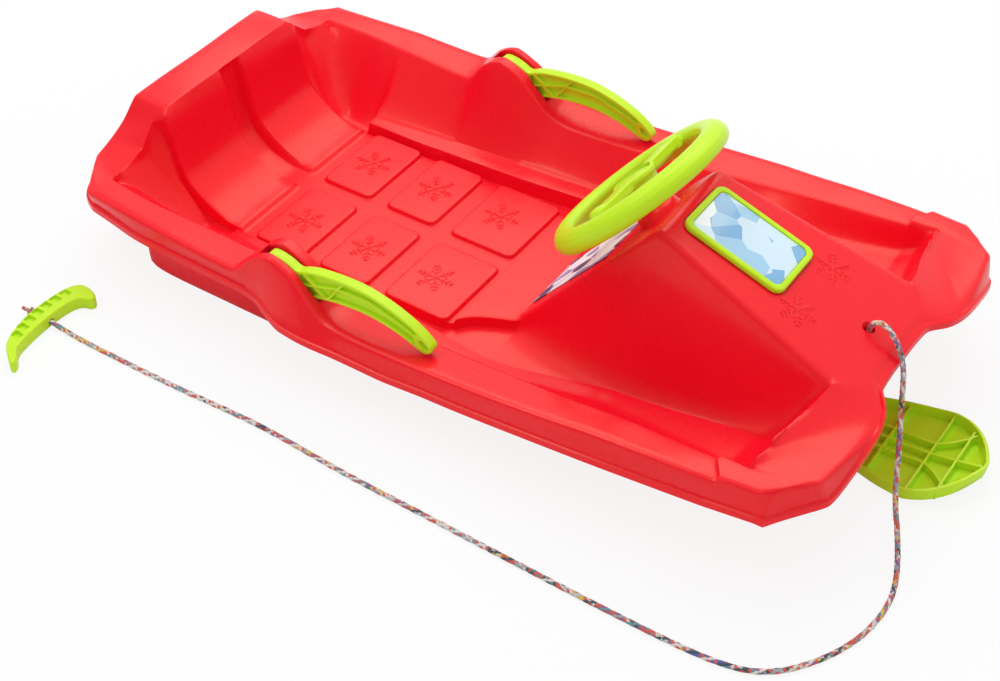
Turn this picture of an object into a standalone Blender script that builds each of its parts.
"""Plastic snow sled with a steering wheel, a front ski, two brake levers and a tow rope.

Metres, +X is the nose, +Y the left side, +Z up, and the runners rest on z = 0.
The tables are drawn in millimetres from the seat floor, DATUM moves them into the frame.
"""

import math

import bmesh
import bpy
import numpy as np
from mathutils import Vector

MM = 0.001
SMOOTH_ANGLE = math.radians(32.0)
DATUM = Vector((-50.0, 0.0, 28.0))

# Steering axis, from the wheel centre down to the ski.
WHEEL_CENTRE = Vector((160.7, 0.0, 192.9))
TILT = math.radians(44.5)
AXIS_UP = Vector((-math.cos(TILT), 0.0, math.sin(TILT)))
AXIS_FORE = Vector((math.sin(TILT), 0.0, math.cos(TILT)))
WHEEL_RADIUS = 98.8
WHEEL_TUBE = 15.5
ROD_RADIUS = 7.0
BUSH_RADIUS = 12.0
RUNNING_GAP = 0.06

# Brake levers.
LEVER_Y = 237.0
LEVER_HALF = 6.5
SLOT_HALF = 8.5
PIVOT = (-163.0, 93.0)
TRUNNION_RADIUS = 6.0
TRUNNION_REACH = SLOT_HALF + 3.0
CLAW_LENGTH = 138.0
CLAW_ANGLE = math.radians(205.5)

# Console top, seen from the side.
CONSOLE_FOOT = 50.0
APEX_X = 222.0
APEX_Z = 203.0
TOP_SLOPE = math.tan(math.radians(19.2))
CONSOLE_DRAFT = 0.175

DECAL_LIFT = 0.85

ROPE_RADIUS = 3.2
ROPE_HOLE = 449.0

# Lines across the sled, from the middle to the edge, each at its own width.
PAD_EDGE = ((-336, 119.5), (-40, 119.5), (-28, 119), (-11, 115), (1, 100), (20, 90), (37, 82), (49, 74),
            (60, 73), (222, 62), (449.5, 94))
CONSOLE_EDGE = ((50, 77), (222, 66), (449.5, 98))
LEDGE_IN = ((-340, 128), (-226, 130), (-93, 142), (0, 152), (100, 160), (200, 167), (300, 176), (400, 192),
            (449.5, 200))
WALL_FOOT = ((-340, 148), (-245, 158), (-112, 171), (0, 179), (100, 186), (200, 191), (300, 196), (400, 208),
             (449.5, 214))
RIM_IN_Y = ((-455, 211), (-390, 215), (-308, 213), (-228, 212), (-90, 213), (30, 214), (190, 221), (290, 221),
            (380, 224), (449.5, 227))
RIM_IN_Z = ((-455, 80), (-390, 77), (-308, 74), (-228, 70), (-217, 72), (-209, 87), (-201, 98), (-185, 110),
            (-172, 114), (-160, 111), (-138, 99), (-131, 90), (-114, 73), (-100, 57), (-90, 50), (-72, 43),
            (-26, 46), (30, 54), (190, 70), (290, 83), (380, 88), (406, 90.5), (412, 97), (449.5, 98.3))
CREASE_Y = ((-462, 247), (-340, 257), (-273, 259), (-215, 261), (-185, 257), (-150, 256), (-120, 259),
            (-90, 263), (-60, 266), (0, 267), (190, 268), (260, 263), (314, 262.5), (390, 260), (449.5, 254.5))
CREASE_Z = ((-462, 81), (-340, 80.5), (-273, 78), (-228, 77), (-217, 79), (-209, 90), (-201, 100), (-185, 111),
            (-172, 115), (-160, 112), (-138, 101), (-131, 92), (-114, 76), (-100, 62), (-90, 56), (-72, 49),
            (-40, 51), (0, 56), (40, 60), (100, 66), (190, 75), (260, 80), (314, 85), (390, 89.3),
            (406, 91), (412, 97.5), (449.5, 99.6))
LIP_Y = ((-474, 240), (-462, 245), (-430, 250), (-378, 260), (-210, 262), (-190, 265), (-170, 273), (-150, 280),
         (-120, 281), (-66, 277), (-5, 276), (52, 273), (269, 271), (394, 263), (456, 261))
LIP_Z = ((-462, 47), (-378, 48), (-190, 45), (-150, 34), (-100, 29), (0, 27), (100, 31), (180, 38), (269, 46),
         (394, 52), (456, 60))
TOE_RAMP = ((-500, -8), (232, -8), (255, -3), (285, 8), (345, 30), (405, 70), (430, 94), (449.5, 112))
LEDGE_Z = ((-500, 5), (150, 5), (240, 8), (285, 18), (345, 40), (405, 78), (430, 97), (449.5, 104))
KEEL = ((-500, -28), (300, -28), (340, -20), (380, 4), (410, 32), (424, 48))
BAY_ROOF = ((262, -20), (272, 22), (330, 26), (380, 48), (412, 78), (424, 88))

REAR_CREASE = ((-488, 0, 139), (-488, 15, 139), (-488, 21, 139), (-489, 70, 139.3), (-494, 117, 134),
               (-495, 125, 126), (-497, 138, 110), (-498, 150, 102), (-499, 165, 94), (-500, 178, 88),
               (-500, 186, 85.4), (-499, 191, 85), (-496, 196, 84.8), (-489, 207, 84), (-481, 219, 83),
               (-472, 232, 82))
REAR_INNER = ((-453, 0, 136), (-452, 14, 136), (-442, 21, 134.5), (-441, 70, 135), (-443, 117, 133),
              (-450, 125, 126), (-453, 135, 116), (-452, 146, 107), (-450, 160, 94), (-451, 180, 87),
              (-452, 196, 83), (-454, 206, 80.5), (-457, 213, 80), (-459, 225, 80), (-460, 236, 80.5),
              (-462, 247, 81))
FRONT_CREASE = ((482, 0, 114), (482, 15, 114), (482, 22, 114), (482, 38, 113.5), (483, 51, 113), (488, 60, 111),
                (501, 76, 106), (509, 100, 103), (511, 122, 103.5), (509, 150, 104), (506, 175, 104.5),
                (502, 200, 104.5), (500, 212, 104.4), (490, 222, 103.3), (479, 232, 102), (467, 244, 100.8))
FRONT_LIP = ((492, 0, 99), (492, 15, 99), (492, 22, 99), (492.5, 40, 98.8), (494, 57, 98.5), (500, 66, 98),
             (511, 80, 95.5), (518, 103, 93), (519, 128, 88.5), (518, 150, 84), (516, 176, 76), (513, 197, 69),
             (510, 206, 66.5), (500, 217, 64.5), (488, 231, 62.5), (474, 247, 60))

# Stations down the backrest: the pads, the groove between them and the wells beside them.
BACKREST = (
    ((-438, 128), (-449, 125), (-447, 88)),
    ((-431, 108), (-441, 103), (-441, 78)),
    ((-427, 74), (-435, 67), (-431, 61)),
    ((-415, 39), (-423, 31), (-418, 40)),
    ((-389, 16), (-396, 6), (-401, 14)),
    ((-360, 1), (-364, -7), (-375, 6)),
)
PAD_ROWS = ((-312, -238), (-211, -141), (-112, -40))

# Ski, drawn flat: half width along its length, then its own bend.
SKI_PLAN = ((303, 14), (306, 22), (314, 28), (330, 33), (360, 37), (400, 42), (430, 46), (460, 51), (485, 60),
            (512, 67), (541, 71), (552, 68), (564, 63), (575, 54.5), (584, 45), (592, 34), (599, 21), (605, 6))
SKI_RIM = ((300, -12), (515, -12), (543, -9), (565, -5), (588, 0), (605, 4))
SKI_BOTTOM = ((300, -28), (500, -28), (540, -26), (588, -18), (605, -13))
SKI_WALL = 3.2

RED = (0.80, 0.030, 0.025, 1.0)
LIME = (0.50, 0.85, 0.06, 1.0)
STEEL = (0.60, 0.60, 0.62, 1.0)
DARK_STEEL = (0.32, 0.32, 0.34, 1.0)
WHITE = (0.80, 0.85, 0.90, 1.0)
BLACK = (0.05, 0.05, 0.05, 1.0)
ROPE_RED = (0.75, 0.16, 0.13, 1.0)


def clear_scene():
    for thing in list(bpy.data.objects):
        bpy.data.objects.remove(thing, do_unlink=True)


def curve_at(table, x):
    return float(np.interp(x, [p[0] for p in table], [p[1] for p in table]))


def in_frame(point):
    return (Vector(point) + DATUM) * MM


def material(name, colour, metallic=0.0, roughness=0.35):
    made = bpy.data.materials.new(name)
    made.use_nodes = True
    shader = made.node_tree.nodes["Principled BSDF"]
    shader.inputs["Base Color"].default_value = colour
    shader.inputs["Metallic"].default_value = metallic
    shader.inputs["Roughness"].default_value = roughness
    return made


def node(name, points, faces, colour, metallic=0.0, roughness=0.35, origin=None):
    """An object of its own from points in drawing millimetres, with its origin where it turns."""
    base = in_frame(origin) if origin is not None else Vector((0.0, 0.0, 0.0))
    mesh = bpy.data.meshes.new(name)
    mesh.from_pydata([tuple(in_frame(p) - base) for p in points], [], [tuple(f) for f in faces])
    tidy = bmesh.new()
    tidy.from_mesh(mesh)
    bmesh.ops.recalc_face_normals(tidy, faces=tidy.faces)
    tidy.to_mesh(mesh)
    tidy.free()
    thing = bpy.data.objects.new(name, mesh)
    thing.location = base
    bpy.context.collection.objects.link(thing)
    thing.data.materials.append(material(name + "_material", colour, metallic, roughness))
    return thing


def boolean(target, tool, operation="DIFFERENCE"):
    tool.hide_render = True
    tool.display_type = "WIRE"
    step = target.modifiers.new(operation.lower(), "BOOLEAN")
    step.operation = operation
    step.solver = "EXACT"
    step.object = tool


def apply_and_drop(target, tools):
    """Bakes the Boolean steps of target, then removes the tools."""
    bpy.context.view_layer.update()
    seen = target.evaluated_get(bpy.context.evaluated_depsgraph_get())
    mesh = bpy.data.meshes.new_from_object(seen)
    keep = target.data.materials[0]
    target.modifiers.clear()
    target.data = mesh
    mesh.materials.clear()
    mesh.materials.append(keep)
    mesh.polygons.foreach_set("material_index", [0] * len(mesh.polygons))
    for tool in tools:
        bpy.data.objects.remove(tool, do_unlink=True)


def prism(outline, low, high, place):
    """Points and faces of an outline pushed from low to high, place maps (a, b, height) to a point."""
    count = len(outline)
    points = [place(a, b, low) for a, b in outline] + [place(a, b, high) for a, b in outline]
    faces = [list(range(count))[::-1], list(range(count, 2 * count))]
    for i in range(count):
        j = (i + 1) % count
        faces.append([i, j, count + j, count + i])
    return points, faces


def lathe(profile, place, segments=32):
    """Closed body of revolution: profile is a closed list of (radius, height) off the axis."""
    points = []
    for k in range(segments):
        angle = 2.0 * math.pi * (k + 0.5) / segments
        for radius, height in profile:
            points.append(place(radius * math.cos(angle), radius * math.sin(angle), height))
    size = len(profile)
    faces = []
    for k in range(segments):
        n = (k + 1) % segments
        for i in range(size):
            j = (i + 1) % size
            faces.append([k * size + i, k * size + j, n * size + j, n * size + i])
    return points, faces


def round_bar(radius, low, high, place, segments=32):
    outline = []
    for k in range(segments):
        angle = 2.0 * math.pi * (k + 0.5) / segments
        outline.append((radius * math.cos(angle), radius * math.sin(angle)))
    return prism(outline, low, high, place)


def on_axis(a, b, height):
    """a across the sled, b forward in the wheel's plane, height up the steering axis."""
    return WHEEL_CENTRE + Vector((0.0, a, 0.0)) + AXIS_FORE * b + AXIS_UP * height


def across(y_middle):
    def place(a, b, height):
        return Vector((a, y_middle + height, b))
    return place


def upright(a, b, height):
    return Vector((a, b, height))


def console_top(x):
    if x <= CONSOLE_FOOT:
        return 0.0
    if x <= APEX_X:
        return (x - CONSOLE_FOOT) / (APEX_X - CONSOLE_FOOT) * APEX_Z
    return APEX_Z - (x - APEX_X) * TOP_SLOPE


def on_pad(x):
    return any(low <= x <= high for low, high in PAD_ROWS) or x >= -12


def station(x):
    """One cross section of the top skin from the middle line to the outer crease."""
    floor = curve_at(TOE_RAMP, x)
    edge = curve_at(PAD_EDGE, x)
    pull = max(0.0, x - 340.0) / 109.5
    ledge = curve_at(LEDGE_Z, x)
    ledge_in = curve_at(LEDGE_IN, x)
    foot = curve_at(WALL_FOOT, x)
    rim_y = curve_at(RIM_IN_Y, x)
    rim_z = curve_at(RIM_IN_Z, x)
    crease_y = curve_at(CREASE_Y, x)
    crease_z = curve_at(CREASE_Z, x)
    if x < CONSOLE_FOOT:
        pad = -1.0 if on_pad(x) else -10.0
        crown = 1.5 if on_pad(x) else 0.0
        low = -10.5 if x < -15 else pad
        middle = [(0.0, low), (15.0, low), (20.5, pad), (0.58 * edge, pad + crown), (edge, pad)]
        side = [(edge + 4.0, -9.5), (edge + 6.0, -10.0)]
    else:
        top = console_top(x)
        wide = curve_at(CONSOLE_EDGE, x)
        drop = min(5.0, 0.5 * (top - floor))
        middle = [(0.0, top + 1.0), (15.0, top + 0.9), (22.0, top + 0.8), (0.62 * wide, top + 0.5), (wide - 4.0, top)]
        wide_foot = wide + CONSOLE_DRAFT * max(0.0, top - floor)
        side = [(wide + 1.0, top - drop), (wide_foot + 1.0, max(floor, -8.0))]
    lower = 0.3 * (rim_z - ledge)
    wall = [
        (max(ledge_in, side[1][0] + 2.0), floor + 0.5),
        (max(ledge_in, side[1][0] + 2.0) + 4.0, ledge - 1.0),
        (foot, ledge),
        (foot + 0.32 * (rim_y - foot), ledge + 0.8 * lower),
        (rim_y - 3.0, rim_z - 6.0),
        (rim_y + 2.5, rim_z),
    ]
    rim = [
        (rim_y + 0.30 * (crease_y - rim_y), rim_z + 0.30 * (crease_z - rim_z) + 1.0),
        (crease_y - 6.0, crease_z),
        (crease_y, crease_z - 2.5),
    ]
    row = []
    for y, z in middle + side + wall + rim:
        back = pull * 19.5 * max(0.0, y - 98.0) / 129.0 if y < 240.0 else 0.0
        row.append(Vector((x - back, y, z)))
    return row


def backrest_station(pad, groove, well):
    wall_y = curve_at(((-450, 196), (-440, 190), (-400, 160), (-370, 150)), well[0])
    rim_x = well[0] - 4.0
    rim_y = curve_at(RIM_IN_Y, rim_x)
    rim_z = curve_at(RIM_IN_Z, rim_x)
    crease_y = curve_at(CREASE_Y, rim_x)
    crease_z = curve_at(CREASE_Z, rim_x)
    side_z = max(min(pad[1] - 6.0, 112.0), -8.0)
    corner = max(0.0, (-400.0 - well[0]) / 50.0)
    return [
        Vector((groove[0], 0.0, groove[1])),
        Vector((groove[0] + 1.0, 14.0, groove[1])),
        Vector((pad[0], 21.0, pad[1])),
        Vector((pad[0] - 1.5, 70.0, pad[1] - 0.5)),
        Vector((pad[0], 119.5, pad[1])),
        Vector((pad[0] - 2.0, 124.5, pad[1] - 3.0)),
        Vector((min(well[0], pad[0] - 5.0), 126.5, min(side_z, well[1] + 24.0 * corner))),
        Vector((well[0], 129.0 + 14.0 * corner, min(well[1] + 12.0 * corner, 100.0))),
        Vector((well[0], 136.0 + 22.0 * corner, well[1])),
        Vector((well[0], wall_y - 6.0, well[1])),
        Vector((well[0] - 1.0, wall_y + 8.0, well[1] + 10.0 - 6.0 * corner)),
        Vector((rim_x, rim_y - 3.0, rim_z - 6.0)),
        Vector((rim_x, rim_y + 2.5, rim_z)),
        Vector((rim_x, rim_y + 0.30 * (crease_y - rim_y), rim_z + 1.0)),
        Vector((rim_x, crease_y - 6.0, crease_z)),
        Vector((rim_x, crease_y, crease_z - 2.5)),
    ]


def blend_rows(a, b, share):
    return [p.lerp(q, share) for p, q in zip(a, b)]


def top_rows():
    rear_edge = [Vector(p) for p in REAR_CREASE]
    rear_inner = [Vector(p) for p in REAR_INNER]
    rows = [[p + Vector((0.0, 0.0, -2.5)) for p in rear_edge], blend_rows(rear_edge, rear_inner, 0.16)]
    rows.append(blend_rows(rear_edge, rear_inner, 0.86))
    for row in rows[1:]:
        row[15].z -= 2.5
    for pad, groove, well in BACKREST:
        rows.append(backrest_station(pad, groove, well))
    xs = [-336, -318]
    for low, high in PAD_ROWS:
        xs += [low, high]
        if low > -240:
            xs.append(low - 5)
        xs.append(high + 5)
    xs += [-17, -12, -223, -209, -201, -185, -172, -160, -131, -100, -90, -72, -26]
    xs += [CONSOLE_FOOT - 2, CONSOLE_FOOT + 4, CONSOLE_FOOT + 40, CONSOLE_FOOT + 100, APEX_X - 7, APEX_X + 5]
    xs += [1, 20, 37, 255, 285, 345, 375, 406, 412, 430, 449.5]
    for x in sorted(set(xs)):
        rows.append(station(float(x)))
    front_inner = [p.copy() for p in rows[-1]]
    shelf = [p.copy() + Vector((4.0, 0.0, -1.2)) for p in front_inner]
    for i in range(5, 12):
        shelf[i].z = 124.0 - 26.0 * (shelf[i].y - 98.0) / 129.0
    for i in range(12, 16):
        shelf[i].z += 1.4
    rows.append(shelf)
    front_edge = [Vector(p) for p in FRONT_CREASE]
    near = blend_rows(shelf, front_edge, 0.86)
    near[15].z = 0.5 * (shelf[15].z + front_edge[15].z) - 1.2
    rows.append(blend_rows(shelf, front_edge, 0.42))
    rows.append(near)
    rows.append([p + Vector((0.0, 0.0, -2.5)) for p in front_edge])
    return rows


def lip_of(row_index, line, last_row, point):
    if row_index == 0:
        corner = max(0, line - 12)
        return Vector((-507.0 + (1.0, 6.0, 13.0, 23.0)[corner], point.y + (0.0, 0.0, 1.0, 1.5)[corner], 47.0))
    if row_index == last_row:
        return Vector(FRONT_LIP[line])
    return Vector((point.x, curve_at(LIP_Y, point.x), curve_at(LIP_Z, point.x)))


BOTTOM_Y = (0.0, 18.0, 36.0, 58.0, 78.0, 90.0, 97.0, 112.0, 126.0, 150.0, 172.0, 188.0, 194.0, 206.0, 215.0, 222.0)


def bottom_height(line, x):
    keel = curve_at(KEEL, x)
    if line >= 12:
        return keel
    if line >= 6 or x < BAY_ROOF[0][0]:
        return keel + 8.0
    return max(keel + 8.0, curve_at(BAY_ROOF, x))


def bottom_x(x):
    return curve_at(((-520, -416), (-470, -403), (-440, -396), (-400, -380), (262, 262), (272, 272),
                     (400, 390), (449.5, 412), (520, 424)), x)


def build_hull():
    rows = top_rows()
    last = len(rows) - 1
    lines = len(rows[0])
    wide = 2 * lines - 1
    points = []
    for row in rows:
        half = [p.copy() for p in row]
        points += [Vector((p.x, -p.y, p.z)) for p in reversed(half[1:])] + half
    base = len(points)
    narrow = ((-520, 1.0), (262, 1.0), (300, 0.975), (360, 0.94), (400, 0.90), (440, 0.86))
    for row in rows:
        x = bottom_x(sum(p.x for p in row) / lines)
        tight = curve_at(narrow, x)
        half = [Vector((x, BOTTOM_Y[i] * tight, bottom_height(i, x))) for i in range(lines)]
        points += [Vector((p.x, -p.y, p.z)) for p in reversed(half[1:])] + half
    faces = []
    for i in range(last):
        for j in range(wide - 1):
            a = i * wide + j
            b = a + wide
            faces.append([a, b, b + 1, a + 1])
            faces.append([base + a, base + a + 1, base + b + 1, base + b])
    loop = [(i, wide - 1) for i in range(last)] + [(last, j) for j in range(wide - 1, 0, -1)]
    loop += [(i, 0) for i in range(last, 0, -1)] + [(0, j) for j in range(wide - 1)]
    outer = []
    for i, j in loop:
        line = abs(j - (lines - 1))
        side = 1.0 if j >= lines - 1 else -1.0
        point = rows[i][line]
        if 0 < i < last:
            lip = lip_of(i, lines - 1, last, point)
        else:
            lip = lip_of(i, line, last, point)
        low = points[base + i * wide + j]
        outer.append((Vector((point.x, side * point.y, point.z)), Vector((lip.x, side * lip.y, lip.z)), low))
    count = len(outer)
    rings = []
    for kind in range(7):
        ring = []
        for k in range(count):
            crease, lip, low = outer[k]
            before = outer[k - 1][1]
            after = outer[(k + 1) % count][1]
            along = Vector((after.x - before.x, after.y - before.y, 0.0)).normalized()
            inward = Vector((along.y, -along.x, 0.0))
            if inward.dot(Vector((-lip.x, -lip.y, 0.0))) < 0.0:
                inward = -inward
            deep = Vector((lip.x * 0.868, max(-236.0, min(236.0, lip.y * 0.885)), lip.z + 4.0))
            if kind == 0:
                place = crease.lerp(lip, 0.12) + inward * -1.2
            elif kind == 1:
                place = lip + inward * 3.0 + Vector((0.0, 0.0, 7.0))
            elif kind == 2:
                place = lip + Vector((0.0, 0.0, 5.0))
            elif kind == 3:
                place = lip.copy()
            elif kind == 4:
                place = lip + inward * 5.0 + Vector((0.0, 0.0, 1.0))
            elif kind == 5:
                place = deep
            else:
                place = deep.lerp(low, 0.72)
                swell = Vector((deep.x - low.x, deep.y - low.y, 0.0))
                place += swell * 0.30
                place.z = low.z + 0.22 * (deep.z - low.z)
            ring.append(place)
        rings.append(ring)
    starts = []
    for ring in rings:
        starts.append(len(points))
        points += ring
    top_loop = [i * wide + j for i, j in loop]
    low_loop = [base + i * wide + j for i, j in loop]
    chain = [top_loop] + [[s + k for k in range(count)] for s in starts] + [low_loop]
    for upper, lower in zip(chain, chain[1:]):
        for k in range(count):
            n = (k + 1) % count
            faces.append([upper[k], upper[n], lower[n], lower[k]])
    hull = node("hull", points, faces, RED, roughness=0.32)
    flat = bmesh.new()
    flat.from_mesh(hull.data)
    level = [e for e in flat.edges if len(e.link_faces) == 2 and e.calc_face_angle(1.0) < 0.0005]
    bmesh.ops.dissolve_limit(flat, angle_limit=0.0005, verts=[], edges=level)
    flat.to_mesh(hull.data)
    flat.free()
    return hull


def lever_slot_outline():
    return ((-192, 150), (-192, 96), (-208, 78), (-228, 66), (-262, 57), (-298, 47), (-298, -45), (-135, -45),
            (-126, 20), (-118, 44), (-84, 46), (-60, 62), (-60, 150))


def cut_hull(hull):
    tools = []
    seat = BUSH_RADIUS + 0.02
    bore = node("bore_cut", *solid_lathe([(0.0, -330.0), (20.0, -330.0), (20.0, -222.0), (seat, -222.0),
                                          (seat, -43.5), (20.0, -43.5), (20.0, 60.0), (0.0, 60.0)], on_axis, 32), RED)
    rope = node("rope_cut", *round_bar(6.0, 40.0, 200.0, lambda a, b, h: Vector((ROPE_HOLE + a, b, h)), 20), RED)
    badge = node("badge_cut", *badge_block(-2.0, 30.0, 67.5, 44.5, 14.0), RED)
    tools += [bore, rope, badge]
    for side in (1.0, -1.0):
        cut = node("slot_cut", *prism(lever_slot_outline(), -SLOT_HALF, SLOT_HALF, across(side * LEVER_Y)), RED)
        hole = node("pin_cut", *round_bar(TRUNNION_RADIUS + RUNNING_GAP, -TRUNNION_REACH - 0.3, TRUNNION_REACH + 0.3,
                                           pin_place(side), 24), RED)
        tools += [cut, hole]
    for tool in tools:
        boolean(hull, tool)
    apply_and_drop(hull, tools)


def pin_place(side):
    def place(a, b, height):
        return Vector((PIVOT[0] + a, side * (LEVER_Y + height), PIVOT[1] + b))
    return place


def badge_block(low, high, half_long, half_wide, radius):
    """A block with round corners on the console top, low and high are measured off that face."""
    slope = math.atan(TOP_SLOPE)
    middle_x = 298.0
    middle = Vector((middle_x, 0.0, console_top(middle_x) + 1.0))
    along = Vector((math.cos(slope), 0.0, -math.sin(slope)))
    off = Vector((math.sin(slope), 0.0, math.cos(slope)))
    outline = []
    for sx, sy, start in ((1, 1, 0), (-1, 1, 90), (-1, -1, 180), (1, -1, 270)):
        for step in range(5):
            angle = math.radians(start + 22.5 * step)
            outline.append((sx * (half_long - radius) + radius * math.cos(angle),
                            sy * (half_wide - radius) + radius * math.sin(angle)))

    def place(a, b, height):
        return middle + along * a + Vector((0.0, b, 0.0)) + off * height
    return prism(outline, low, high, place)


def build_badge():
    frame = node("badge_frame", *badge_block(-1.8, 6.0, 65.0, 42.0, 12.0), LIME)
    well = node("well", *badge_block(2.2, 20.0, 58.0, 35.5, 8.0), LIME)
    boolean(frame, well)
    apply_and_drop(frame, [well])
    node("badge_plate", *badge_block(2.3, 4.6, 57.7, 35.2, 7.7), WHITE, roughness=0.25)
    rise = math.atan2(APEX_Z, APEX_X - CONSOLE_FOOT)
    corner = Vector((CONSOLE_FOOT, 0.0, 0.0))
    along = Vector((math.cos(rise), 0.0, math.sin(rise)))
    off = Vector((-math.sin(rise), 0.0, math.cos(rise)))
    low = curve_at(CONSOLE_EDGE, CONSOLE_FOOT) - 23.0
    high = curve_at(CONSOLE_EDGE, CONSOLE_FOOT + 98.0) - 24.0
    outline = ((12, -low), (150, -high), (150, high), (12, low))

    def place(a, b, height):
        return corner + along * a + Vector((0.0, b, 0.0)) + off * (DECAL_LIFT + height)
    node("console_decal", *prism(outline, 0.0, 0.6, place), (0.62, 0.56, 0.78, 1.0), roughness=0.3)


def build_wheel():
    points = []
    faces = []
    around = 44
    tube = 10
    for i in range(around):
        angle = 2.0 * math.pi * i / around
        for k in range(tube):
            turn = 2.0 * math.pi * (k + 0.5) / tube
            radius = WHEEL_RADIUS + WHEEL_TUBE * math.cos(turn)
            height = 13.0 * math.sin(turn)
            points.append(on_axis(radius * math.cos(angle), radius * math.sin(angle), height))
    for i in range(around):
        n = (i + 1) % around
        for k in range(tube):
            m = (k + 1) % tube
            faces.append([i * tube + k, n * tube + k, n * tube + m, i * tube + m])
    wheel = node("steering_wheel", points, faces, LIME, origin=WHEEL_CENTRE)
    half = ((95, 20), (70, 24), (45, 31), (25, 35), (0, 37))
    outline = [(y, w) for y, w in half] + [(-y, w) for y, w in half[::-1][1:]]
    outline += [(-y, -w) for y, w in half] + [(y, -w) for y, w in half[::-1][1:]]
    bar = node("bar", *prism(outline, -7.0, 6.0, on_axis), LIME)
    hub = node("hub", *round_bar(30.0, -14.0, 9.5, on_axis, 36), LIME)
    sleeve = node("sleeve", *prism([(17.0 * math.cos(k * math.pi / 16), 17.0 * math.sin(k * math.pi / 16))
                                   for k in range(32)], -36.5, 0.0, on_axis), LIME)
    tools = [bar, hub, sleeve]
    for tool in tools:
        boolean(wheel, tool, "UNION")
    bore = node("wheel_bore", *round_bar(ROD_RADIUS + 0.02, -60.0, 20.0, on_axis), LIME)
    well = node("wheel_well", *round_bar(20.0, -3.0, 20.0, on_axis), LIME)
    boolean(wheel, bore)
    boolean(wheel, well)
    tools += [bore, well]
    for side in (1.0, -1.0):
        for near, far in ((36.0, 54.0), (58.0, 76.0)):
            recess = [(side * near, -13.0), (side * far, -11.0), (side * far, 11.0), (side * near, 13.0)]
            pocket = node("pocket", *prism(recess, 2.5, 20.0, on_axis), LIME)
            boolean(wheel, pocket)
            tools.append(pocket)
    apply_and_drop(wheel, tools)
    cap = [(0.01, 7.5), (15.0, 7.5), (17.5, 3.0), (19.9, 3.0), (19.9, 9.7), (23.5, 9.7), (22.5, 12.2), (12.0, 13.6),
           (0.01, 13.9)]
    node("wheel_cap", *solid_lathe(cap, on_axis, 32), LIME, origin=WHEEL_CENTRE)
    node("wheel_washer", *lathe([(ROD_RADIUS + 0.2, -2.95), (15.0, -2.95), (15.0, -1.25), (ROD_RADIUS + 0.2, -1.25)],
                                on_axis, 32), STEEL, 1.0, 0.3, origin=WHEEL_CENTRE)
    nut_outer = [(11.5 * math.cos(k * math.pi / 3), 11.5 * math.sin(k * math.pi / 3)) for k in range(6)]
    nut = node("wheel_nut", *prism(nut_outer, -1.2, 5.2, on_axis), STEEL, 1.0, 0.3, origin=WHEEL_CENTRE)
    hole = node("nut_bore", *round_bar(ROD_RADIUS + 0.02, -10.0, 20.0, on_axis), STEEL)
    boolean(nut, hole)
    apply_and_drop(nut, [hole])
    rod = node("steering_rod", *round_bar(ROD_RADIUS, -291.0, 6.2, on_axis), STEEL, 1.0, 0.3, origin=WHEEL_CENTRE)
    pin_hole = node("pin_bore", *round_bar(2.52, -40.0, 40.0, ski_pin_place, 16), STEEL)
    boolean(rod, pin_hole)
    apply_and_drop(rod, [pin_hole])
    gap = ROD_RADIUS + RUNNING_GAP
    node("upper_bush", *lathe([(gap, -70.0), (BUSH_RADIUS, -70.0), (BUSH_RADIUS, -43.4), (19.0, -43.4),
                               (19.0, -38.0), (17.5, -37.0), (gap, -37.0)], on_axis, 32), BLACK, roughness=0.5)
    node("lower_bush", *lathe([(gap, -226.5), (19.0, -226.5), (19.0, -222.1), (BUSH_RADIUS, -222.1),
                               (BUSH_RADIUS, -195.0), (gap, -195.0)], on_axis, 32), BLACK, roughness=0.5)


def solid_lathe(profile, place, segments):
    """Body of revolution that is closed on the axis, first and last profile points lie there."""
    inner = profile[1:-1]
    points = [place(0.0, 0.0, profile[0][1]), place(0.0, 0.0, profile[-1][1])]
    for k in range(segments):
        angle = 2.0 * math.pi * (k + 0.5) / segments
        for radius, height in inner:
            points.append(place(radius * math.cos(angle), radius * math.sin(angle), height))
    size = len(inner)
    faces = []
    for k in range(segments):
        n = (k + 1) % segments
        for i in range(size - 1):
            faces.append([2 + k * size + i, 2 + k * size + i + 1, 2 + n * size + i + 1, 2 + n * size + i])
        faces.append([0, 2 + k * size, 2 + n * size])
        faces.append([1, 2 + n * size + size - 1, 2 + k * size + size - 1])
    return points, faces


def ski_pin_place(a, b, height):
    """Across the sled, where the pin holds the ski on the rod."""
    middle = WHEEL_CENTRE + AXIS_UP * -262.0
    return middle + AXIS_FORE * a + AXIS_UP * b + Vector((0.0, height, 0.0))


def strip(line, half_width, low, high):
    """A bar that runs along a line over the ski and follows its bend, low and high are functions of x."""
    points = []
    for i, (x, y) in enumerate(line):
        before = Vector(line[max(i - 1, 0)])
        after = Vector(line[min(i + 1, len(line) - 1)])
        along = (after - before).normalized()
        beside = Vector((-along.y, along.x)) * half_width
        for sign, z in ((-1.0, low(x)), (1.0, low(x)), (1.0, high(x)), (-1.0, high(x))):
            points.append(Vector((x + sign * beside.x, y + sign * beside.y, z)))
    faces = [[0, 1, 2, 3], [len(points) - 1, len(points) - 2, len(points) - 3, len(points) - 4]]
    for i in range(len(line) - 1):
        for k in range(4):
            m = (k + 1) % 4
            faces.append([4 * i + k, 4 * i + m, 4 * i + 4 + m, 4 * i + 4 + k])
    return points, faces


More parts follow.
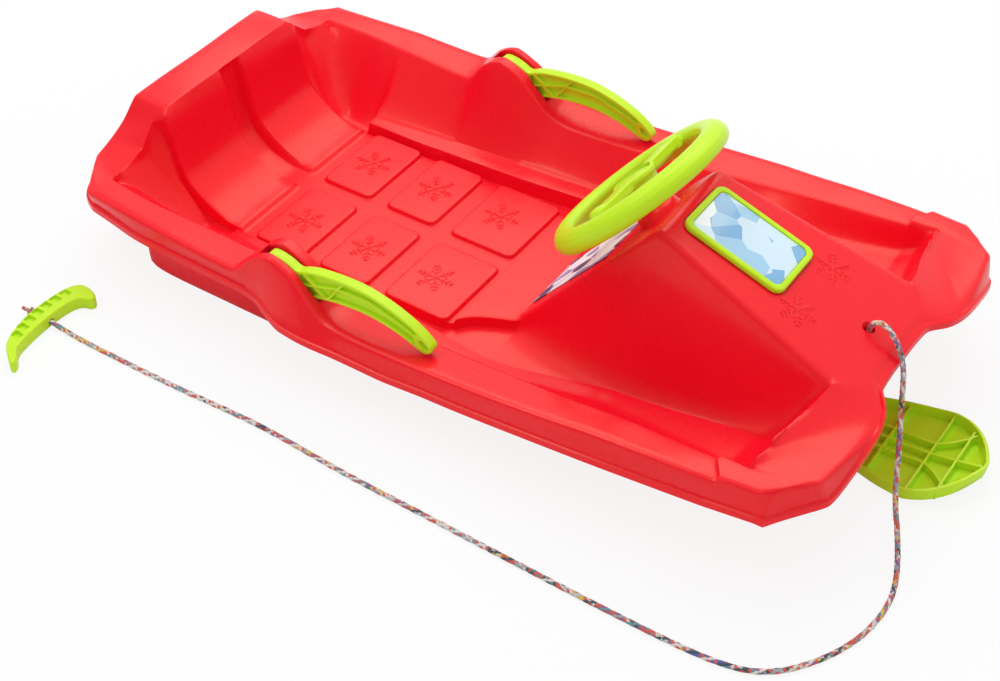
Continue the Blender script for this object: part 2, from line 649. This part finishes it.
def build_ski():
    xs = [303, 306, 314, 330, 360, 400, 430, 460, 485, 512, 527, 541, 552, 564, 575, 584, 592, 599, 605]
    count = len(xs)

    def rim(x):
        return curve_at(SKI_RIM, x)

    def bottom(x):
        return curve_at(SKI_BOTTOM, x)

    def floor(x):
        return bottom(x) + 3.2

    middle_x = 440.0
    points = []
    for level in range(4):
        for side in (1.0, -1.0):
            for x in xs:
                half = curve_at(SKI_PLAN, x)
                if level in (2, 3):
                    place_x = middle_x + (x - middle_x) * 0.977
                    wide = max(2.0, half - SKI_WALL)
                else:
                    place_x = x
                    wide = half - (2.5 if level == 0 else 0.0)
                z = (bottom(x), rim(x), rim(x), floor(x))[level]
                points.append(Vector((place_x, side * wide, z)))
    faces = []

    def index(level, side, i):
        return level * 2 * count + side * count + i

    for i in range(count - 1):
        faces.append([index(0, 0, i), index(0, 1, i), index(0, 1, i + 1), index(0, 0, i + 1)])
        faces.append([index(3, 0, i), index(3, 0, i + 1), index(3, 1, i + 1), index(3, 1, i)])
        for level in range(3):
            for side in (0, 1):
                faces.append([index(level, side, i), index(level, side, i + 1),
                              index(level + 1, side, i + 1), index(level + 1, side, i)])
    for level in range(3):
        for i in (0, count - 1):
            faces.append([index(level, 0, i), index(level, 1, i), index(level + 1, 1, i), index(level + 1, 0, i)])
    ski = node("ski", points, faces, LIME, origin=WHEEL_CENTRE)
    tools = []
    spine = [(x, 0.0) for x in (305.5, 340, 380, 420, 460, 500, 527, 541, 564, 584, 602)]
    beside = [(312, 17), (360, 17), (420, 17), (480, 17), (510, 17), (541, 17), (556, 26), (569, 38), (577, 48.5)]
    for line in (spine, beside, [(x, -y) for x, y in beside]):
        tools.append(node("rib", *strip(line, 1.4, lambda x: floor(x) - 1.2, lambda x: rim(x) - 4.0), LIME))
    for x in (380.0, 430.0, 492.0, 541.0, 571.0):
        wide = curve_at(SKI_PLAN, x) - 1.0
        box = [(x - 1.4, -wide), (x + 1.4, -wide), (x + 1.4, wide), (x - 1.4, wide)]
        tools.append(node("rib", *prism(box, floor(x) - 1.2, rim(x) - 4.0, upright), LIME))
    boss = node("boss", *round_bar(15.0, -297.0, -238.0, on_axis, 28), LIME)
    fin = [(330, -26), (400, -26), (388, -12), (344, 18), (336, 12)]
    web = node("web", *prism(fin, -4.0, 4.0, across(0.0)), LIME)
    pad = [(340, -24), (404, -24), (404, 24), (340, 24)]
    foot = node("foot", *prism(pad, -26.0, -14.0, upright), LIME)
    tools += [boss, web, foot]
    for tool in tools:
        boolean(ski, tool, "UNION")
    bore = node("ski_bore", *round_bar(ROD_RADIUS + 0.02, -291.3, -200.0, on_axis), LIME)
    cross = node("ski_pin_bore", *round_bar(2.52, -40.0, 40.0, ski_pin_place, 16), LIME)
    boolean(ski, bore)
    boolean(ski, cross)
    tools += [bore, cross]
    apply_and_drop(ski, tools)
    node("ski_pin", *round_bar(2.5, -17.0, 17.0, ski_pin_place, 16), DARK_STEEL, 1.0, 0.35, origin=WHEEL_CENTRE)


LEVER_TOP = ((-183, 107), (-175, 110), (-165, 109.5), (-152, 105.5), (-142, 100), (-136, 101), (-129, 105),
             (-115, 109.5), (-98, 112.5), (-75, 115), (-50, 115.5), (-30, 112.5), (-8, 107), (16, 97.5), (32, 88),
             (46, 78.5))
LEVER_LOW = ((48, 77), (47, 72), (42, 65), (35, 62.5), (28, 65), (20, 68), (8, 73), (-8, 77.5), (-24, 80.5),
             (-40, 82), (-56, 82), (-72, 80.5), (-88, 78.5), (-104, 74.5), (-116, 71.5), (-130, 62), (-146, 56),
             (-162, 58), (-174, 66), (-182, 78), (-184, 92))
LEVER_MIDDLE = ((-140, 81), (-124, 86.5), (-83, 100), (-38, 102), (-2, 92), (30, 80.5))
LEVER_FLANGE = 3.5


def lever_cell(upper, top, bottom):
    """A hollow in the lever's face, above or below its middle rib, between slanting ends."""
    outline = []
    for k in range(9):
        x = top[0] + (top[1] - top[0]) * k / 8.0
        high = curve_at(LEVER_TOP, x) - LEVER_FLANGE if upper else curve_at(LEVER_MIDDLE, x) - 1.3
        outline.append((x, high))
    for k in range(9):
        x = bottom[1] + (bottom[0] - bottom[1]) * k / 8.0
        low = curve_at(LEVER_MIDDLE, x) + 1.3 if upper else curve_at(LEVER_LOW[::-1], x) + LEVER_FLANGE
        outline.append((x, low))
    return outline


def build_lever(name, side):
    where = across(side * LEVER_Y)
    origin = Vector((PIVOT[0], side * LEVER_Y, PIVOT[1]))
    lever = node("brake_lever_" + name, *prism(LEVER_TOP + LEVER_LOW, -LEVER_HALF, LEVER_HALF, where), LIME,
                 origin=origin)
    tools = []
    cells = ((True, (-137, -132.5), (-137.5, -119)), (False, (-137.5, -118), (-133, -107)),
             (True, (-128, -75), (-113.5, -83.5)), (False, (-112.5, -84.5), (-102, -98.5)),
             (True, (-71, 27), (-80, 22)), (False, (-82, 20), (-94.5, 25)))
    for upper, top, bottom in cells:
        outline = lever_cell(upper, top, bottom)
        for low, high in ((2.0, 20.0), (-20.0, -2.0)):
            tools.append(node("cell", *prism(outline, low, high, where), LIME))
    eye = []
    for k in range(14):
        angle = 2.0 * math.pi * k / 14
        long = 7.5 * math.cos(angle)
        short = 4.2 * math.sin(angle)
        eye.append((35.0 + 0.77 * long + 0.64 * short, 75.0 - 0.64 * long + 0.77 * short))
    for low, high in ((2.0, 20.0), (-20.0, -2.0)):
        tools.append(node("eye", *prism(eye, low, high, where), LIME))
    for low, high in ((3.0, TRUNNION_REACH), (-TRUNNION_REACH, -3.0)):
        stub = node("stub", *round_bar(TRUNNION_RADIUS, low, high, pin_place(side), 24), LIME)
        boolean(lever, stub, "UNION")
        tools.append(stub)
    slit = node("slit", *prism(claw_outline(0.05), -1.55, 1.55, where), LIME)
    tools.append(slit)
    for tool in tools:
        if not tool.name.startswith("stub"):
            boolean(lever, tool)
    for tx, tz in claw_rivets():
        cut = node("rivet_cut", *round_bar(2.02, -60.0, 60.0, lambda a, b, h, tx=tx, tz=tz:
                                           Vector((tx + a, side * (LEVER_Y + h), tz + b)), 16), LIME)
        boolean(lever, cut)
        tools.append(cut)
    apply_and_drop(lever, tools)


def claw_outline(grow):
    """The claw plate: it sits in the lever behind the pin and reaches back and down."""
    along = Vector((math.cos(CLAW_ANGLE), math.sin(CLAW_ANGLE)))
    start = Vector((-146.0, 74.0))
    reach = (Vector(PIVOT) + along * CLAW_LENGTH - start).length
    heading = (Vector(PIVOT) + along * CLAW_LENGTH - start).normalized()
    beside = Vector((-heading.y, heading.x))
    shape = ((-8.0, -10.0), (-8.0, 10.0), (20.0, 10.0), (reach - 34.0, 8.0), (reach - 14.0, 13.0), (reach, 11.0),
             (reach - 8.0, 5.0), (reach - 3.0, 0.0), (reach - 10.0, -5.0), (reach - 30.0, -8.0), (20.0, -10.0))
    outline = []
    for a, b in shape:
        a += math.copysign(grow, a - 40.0)
        b += math.copysign(grow, b) if b else 0.0
        spot = start + heading * a + beside * b
        outline.append((spot.x, spot.y))
    return outline


def claw_rivets():
    return ((-144.5, 74.5), (-157.0, 66.5))


def build_brake(name, side):
    build_lever(name, side)
    origin = Vector((PIVOT[0], side * LEVER_Y, PIVOT[1]))
    claw = node("brake_claw_" + name, *prism(claw_outline(0.0), -1.5, 1.5, across(side * LEVER_Y)), STEEL, 1.0, 0.35,
                origin=origin)
    tools = []
    for number, (tx, tz) in enumerate(claw_rivets()):
        def place(a, b, h, tx=tx, tz=tz):
            return Vector((tx + a, side * (LEVER_Y + h), tz + b))
        cut = node("rivet_cut", *round_bar(2.02, -20.0, 20.0, place, 16), STEEL)
        boolean(claw, cut)
        tools.append(cut)
    apply_and_drop(claw, tools)
    for place_name, (tx, tz) in zip(("front", "rear"), claw_rivets()):
        node("brake_rivet_" + place_name + "_" + name, *rivet(side, tx, tz), DARK_STEEL, 1.0, 0.35, origin=origin)


def rivet(side, tx, tz):
    def place(a, b, h):
        return Vector((tx + a, side * (LEVER_Y + h), tz + b))
    return round_bar(2.0, -LEVER_HALF, LEVER_HALF, place, 16)


# The rope's own points, from under the nose to behind the grip.
ROPE_ROUTE = (
    (449, 0, 101.6), (449, 0, 114), (449.5, 0, 126), (453, 0.4, 133.5), (460, 0.3, 137), (468, -0.6, 135.5),
    (476.5, -2.5, 130), (485.5, -5.5, 121.5), (493, -10, 111.5), (500, -17, 99), (506.5, -28, 83), (513.5, -42, 67),
    (522, -58, 50), (531, -76, 32.5), (540, -95, 16), (550, -113, 4), (560, -128, -5), (570, -145, -14.5),
    (579, -163, -22), (586, -182, -24.7), (591, -205, -24.7), (591.5, -232, -24.7), (587, -262, -24.7),
    (577, -291, -24.7), (561, -320, -24.7), (540, -346, -24.7), (511, -364.5, -24.7), (462, -374, -24.7),
    (360, -376.5, -24.7), (240, -375.5, -24.7), (123, -374, -24.7), (20, -372.5, -24.7), (-107, -367, -24.7),
    (-230, -371.5, -24.7), (-345, -373, -24.7), (-385, -372.5, -24.5), (-408, -372, -23), (-424, -372, -20.8),
    (-438, -372, -20.5), (-450.1, -372, -20.5),
)
ROPE_STEP = 26.0
ROPE_TURN = 0.45


def smooth_route(route, step, turn):
    """Points on a smooth curve through the route, a step apart where it is straight and closer in its bends."""
    fine = []
    count = len(route)
    for i in range(count - 1):
        before = Vector(route[max(i - 1, 0)])
        start = Vector(route[i])
        end = Vector(route[i + 1])
        after = Vector(route[min(i + 2, count - 1)])
        span = (end - start).length
        leave = (end - before) * (span / max((end - start).length + (start - before).length, 1e-6))
        arrive = (after - start) * (span / max((after - end).length + span, 1e-6))
        for k in range(12):
            t = k / 12.0
            fine.append(start * (2 * t ** 3 - 3 * t ** 2 + 1) + leave * (t ** 3 - 2 * t ** 2 + t)
                        + end * (3 * t ** 2 - 2 * t ** 3) + arrive * (t ** 3 - t ** 2))
    fine.append(Vector(route[-1]))
    effort = [0.0]
    for i in range(len(fine) - 1):
        ahead = fine[i + 1] - fine[i]
        bend = ahead.angle(fine[i] - fine[i - 1], 0.0) if i else 0.0
        effort.append(effort[-1] + ahead.length / step + bend / turn)
    pieces = round(effort[-1])
    spaced = []
    for k in range(pieces + 1):
        along = effort[-1] * k / pieces
        spaced.append(Vector([float(np.interp(along, effort, [p[axis] for p in fine])) for axis in range(3)]))
    return spaced


def build_rope():
    spots = smooth_route(ROPE_ROUTE, ROPE_STEP, ROPE_TURN)
    curve = bpy.data.curves.new("tow_rope", "CURVE")
    curve.dimensions = "3D"
    curve.bevel_depth = ROPE_RADIUS * MM
    curve.bevel_resolution = 2
    curve.use_fill_caps = True
    line = curve.splines.new("POLY")
    line.points.add(len(spots) - 1)
    for point, spot in zip(line.points, spots):
        point.co = (*in_frame(spot), 1.0)
    rope = bpy.data.objects.new("tow_rope", curve)
    bpy.context.collection.objects.link(rope)
    curve.materials.append(material("tow_rope_material", ROPE_RED, roughness=0.8))
    nose_knot = [(0.0, 101.3), (5.5, 101.3), (8.2, 97.0), (8.2, 90.0), (5.0, 86.0), (3.4, 84.0), (3.2, 78.0),
                 (0.0, 78.0)]
    node("rope_knot_nose", *solid_lathe(nose_knot, lambda a, b, h: Vector((ROPE_HOLE + a, b, h)), 14), ROPE_RED,
         roughness=0.8)
    grip_knot = [(0.0, -450.4), (5.0, -450.4), (7.2, -453.5), (7.2, -458.5), (4.6, -462.0), (3.3, -464.0),
                 (3.0, -472.0), (0.0, -472.0)]
    node("rope_knot_grip", *solid_lathe(grip_knot, lambda a, b, h: Vector((h, -372.0 + a, -20.5 + b)), 14), ROPE_RED,
         roughness=0.8)


HANDLE = ((-401, -455), (-405, -446), (-416, -437), (-420, -424), (-422, -410), (-424, -391), (-425, -371),
          (-424, -351), (-421, -335), (-415, -327), (-404, -325), (-402, -317), (-410, -311), (-426, -307),
          (-438, -311), (-445, -325), (-448.5, -348), (-449.5, -373), (-448, -393), (-444, -412), (-438, -428),
          (-430, -440), (-417, -450), (-405, -459))
HANDLE_POCKETS = ((-438, -332), (-440, -346.5), (-441, -361), (-441, -375.5), (-439.5, -390), (-436.5, -404.5),
                  (-432.5, -418.5))


def build_handle():
    handle = node("tow_handle", *prism(HANDLE, -27.7, -10.0, upright), LIME)
    tools = []
    for x, y in HANDLE_POCKETS:
        box = [(x - 7.0, y - 5.4), (x + 7.0, y - 5.4), (x + 7.0, y + 5.4), (x - 7.0, y + 5.4)]
        tools.append(node("cell", *prism(box, -14.4, 0.0, upright), LIME))
    hole = node("rope_hole", *round_bar(4.0, -30.0, 30.0, lambda a, b, h: Vector((-437.0 + h, -372.0 + a, -20.5 + b)),
                                        20), LIME)
    tools.append(hole)
    for tool in tools:
        boolean(handle, tool)
    apply_and_drop(handle, tools)


def main():
    clear_scene()
    hull = build_hull()
    cut_hull(hull)
    build_badge()
    build_wheel()
    build_ski()
    build_brake("left", 1.0)
    build_brake("right", -1.0)
    build_rope()
    build_handle()
    for thing in bpy.data.objects:
        if thing.type == "MESH":
            thing.data.shade_smooth()
            thing.data.set_sharp_from_angle(angle=SMOOTH_ANGLE)
    bpy.context.view_layer.update()


main()
